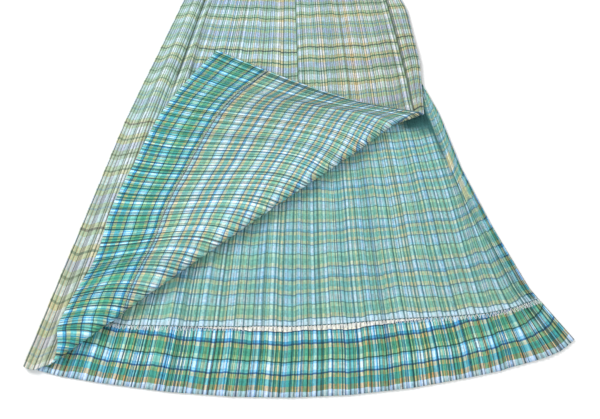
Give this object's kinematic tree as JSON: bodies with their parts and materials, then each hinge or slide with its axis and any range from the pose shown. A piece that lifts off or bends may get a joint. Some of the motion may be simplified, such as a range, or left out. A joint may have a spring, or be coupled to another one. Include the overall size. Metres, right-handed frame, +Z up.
{
  "type": "pleated skirt",
  "caption": "Finely pleated plaid A-line skirt laid flat, its side slit open and the front's lower corner turned back to show the inside and the deep hems.",
  "frame": {"origin": "on the flat underside of the back panel, on the centre line at half the skirt's length", "axes": "+Y towards the waistband, +X towards the slit side, +Z up from the surface that the skirt lies on"},
  "size_m": [0.8507, 0.768, 0.0234],
  "materials": {
    "cloth_outside": "crinkle-pleated light woven plaid, outside, pale",
    "cloth_inside": "crinkle-pleated light woven plaid, inside",
    "cloth_double": "crinkle-pleated light woven plaid, two layers deep at a turned-up hem"
  },
  "bodies": {
    "root": {"waistband": "cloth_outside", "back_panel": "cloth_inside", "back_hem": "cloth_double", "back_slit_turning": "cloth_double", "front_panel": "cloth_outside", "front_hem": "cloth_double", "front_slit_turning": "cloth_double"}
  },
  "joints": []
}
